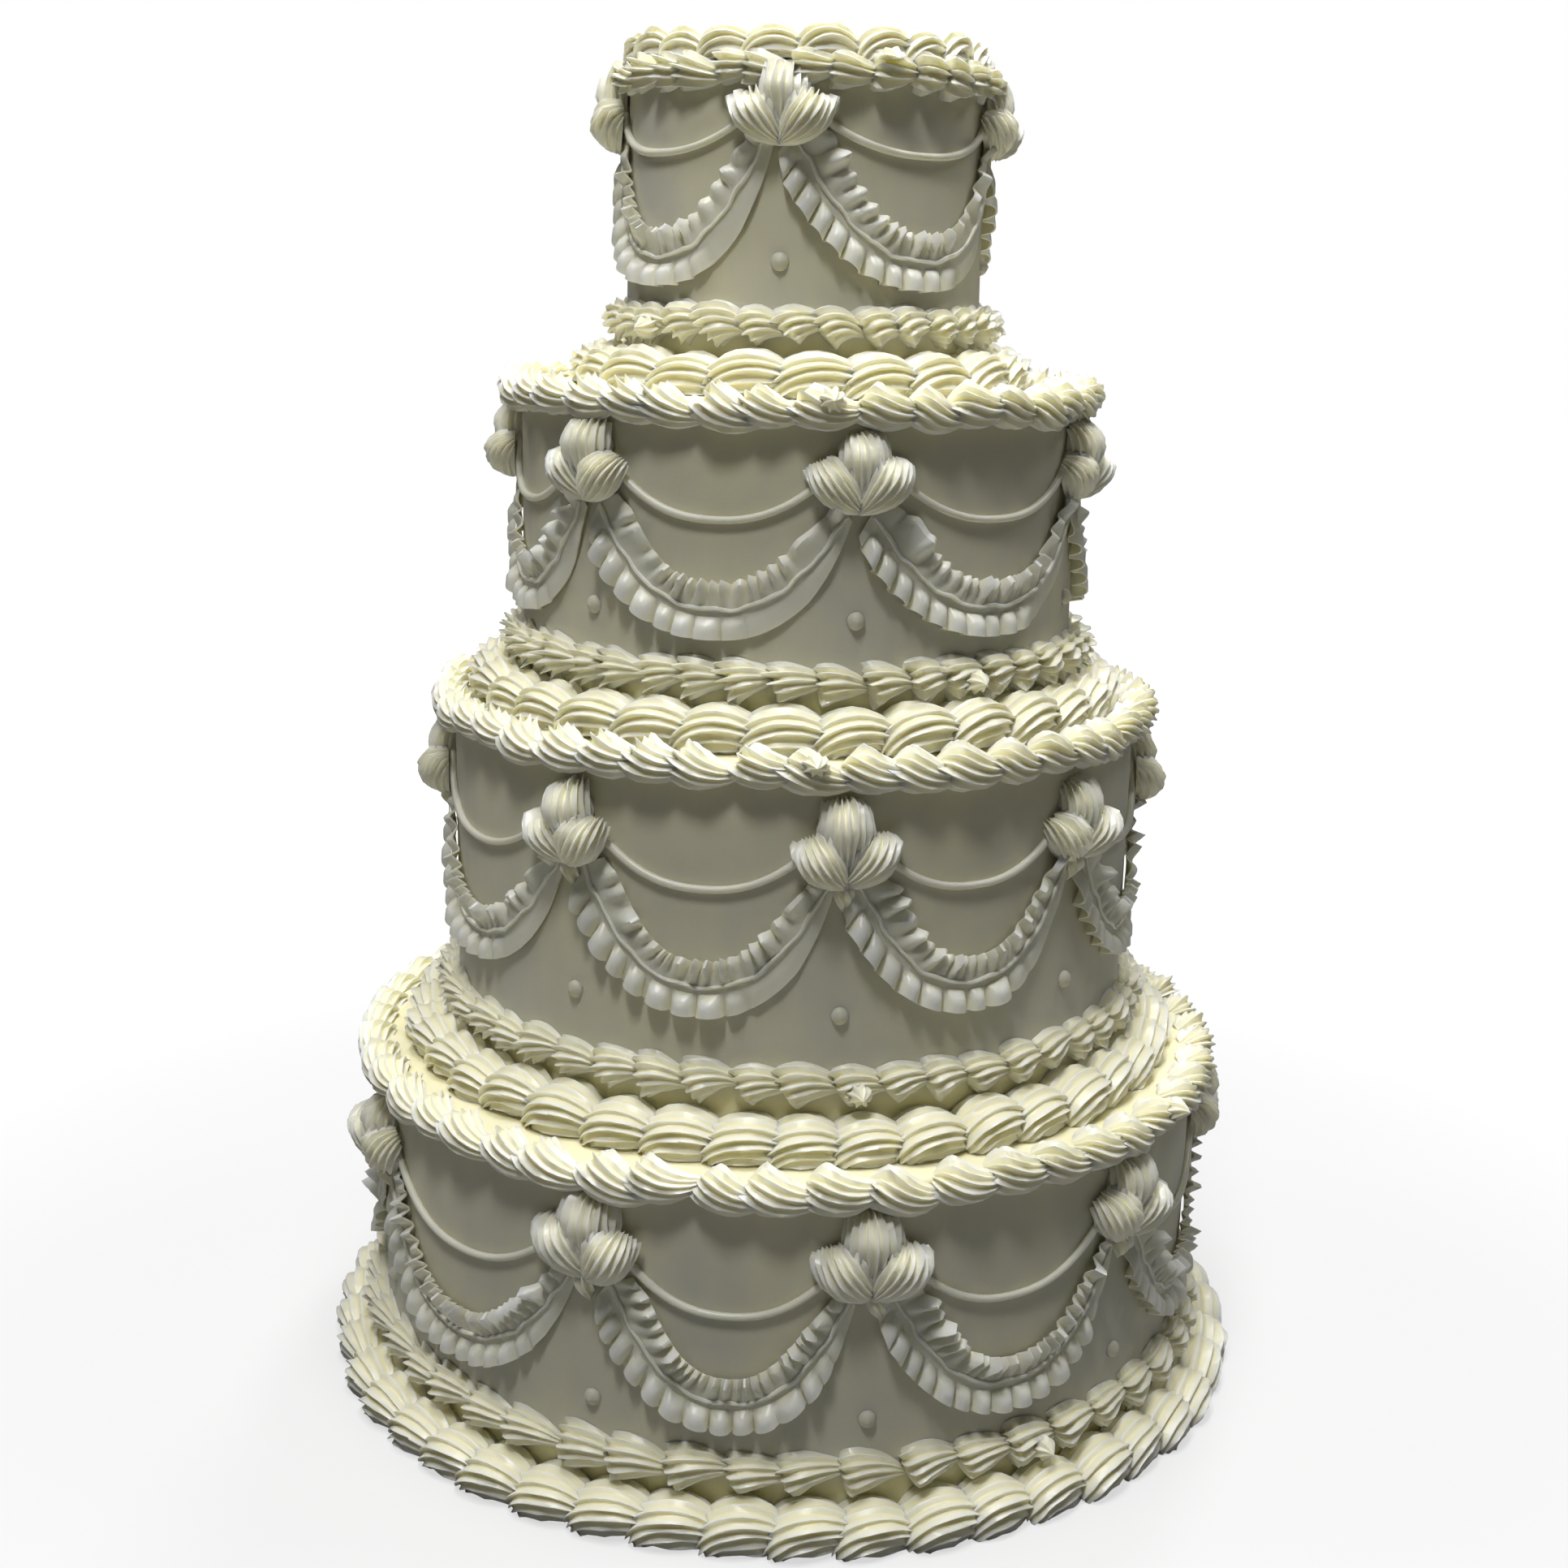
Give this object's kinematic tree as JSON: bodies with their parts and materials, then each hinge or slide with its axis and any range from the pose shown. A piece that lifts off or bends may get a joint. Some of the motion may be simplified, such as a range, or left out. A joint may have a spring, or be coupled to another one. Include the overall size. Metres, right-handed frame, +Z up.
{
  "type": "tiered wedding cake",
  "caption": "Round tiered wedding cake in ivory buttercream, edged with piped shell borders and hung with ruffled garlands, string lines, fleurs and pearls.",
  "frame": {"origin": "centre of the bottom face of the lowest tier, on the surface the cake stands on", "axes": "+Z up along the axis of the tiers, -Y towards the front, +X to the right seen from the front"},
  "size_m": [0.4319, 0.4315, 0.6061],
  "materials": {
    "smooth_icing": "satin",
    "piped_icing": "satin"
  },
  "bodies": {
    "root": {"tier_1": "smooth_icing", "crown_border_1": "piped_icing", "rim_border_1": "piped_icing", "foot_border_1": "piped_icing", "base_border_1": "piped_icing", "string_1": "piped_icing", "garland_1": "piped_icing", "fleur_1_1": "piped_icing", "fleur_1_2": "piped_icing", "fleur_1_3": "piped_icing", "fleur_1_4": "piped_icing", "tier_2": "smooth_icing", "rim_border_2": "piped_icing", "foot_border_2": "piped_icing", "base_border_2": "piped_icing", "string_2": "piped_icing", "garland_2": "piped_icing", "fleur_2_1": "piped_icing", "fleur_2_2": "piped_icing", "fleur_2_3": "piped_icing", "fleur_2_4": "piped_icing", "fleur_2_5": "piped_icing", "fleur_2_6": "piped_icing", "fleur_2_7": "piped_icing", "tier_3": "smooth_icing", "rim_border_3": "piped_icing", "foot_border_3": "piped_icing", "base_border_3": "piped_icing", "string_3": "piped_icing", "garland_3": "piped_icing", "fleur_3_1": "piped_icing", "fleur_3_2": "piped_icing", "fleur_3_3": "piped_icing", "fleur_3_4": "piped_icing", "fleur_3_5": "piped_icing", "fleur_3_6": "piped_icing", "fleur_3_7": "piped_icing", "fleur_3_8": "piped_icing", "tier_4": "smooth_icing", "rim_border_4": "piped_icing", "foot_border_4": "piped_icing", "base_border_4": "piped_icing", "string_4": "piped_icing", "garland_4": "piped_icing", "fleur_4_1": "piped_icing", "fleur_4_2": "piped_icing", "fleur_4_3": "piped_icing", "fleur_4_4": "piped_icing", "fleur_4_5": "piped_icing", "fleur_4_6": "piped_icing", "fleur_4_7": "piped_icing", "fleur_4_8": "piped_icing", "fleur_4_9": "piped_icing"}
  },
  "joints": []
}
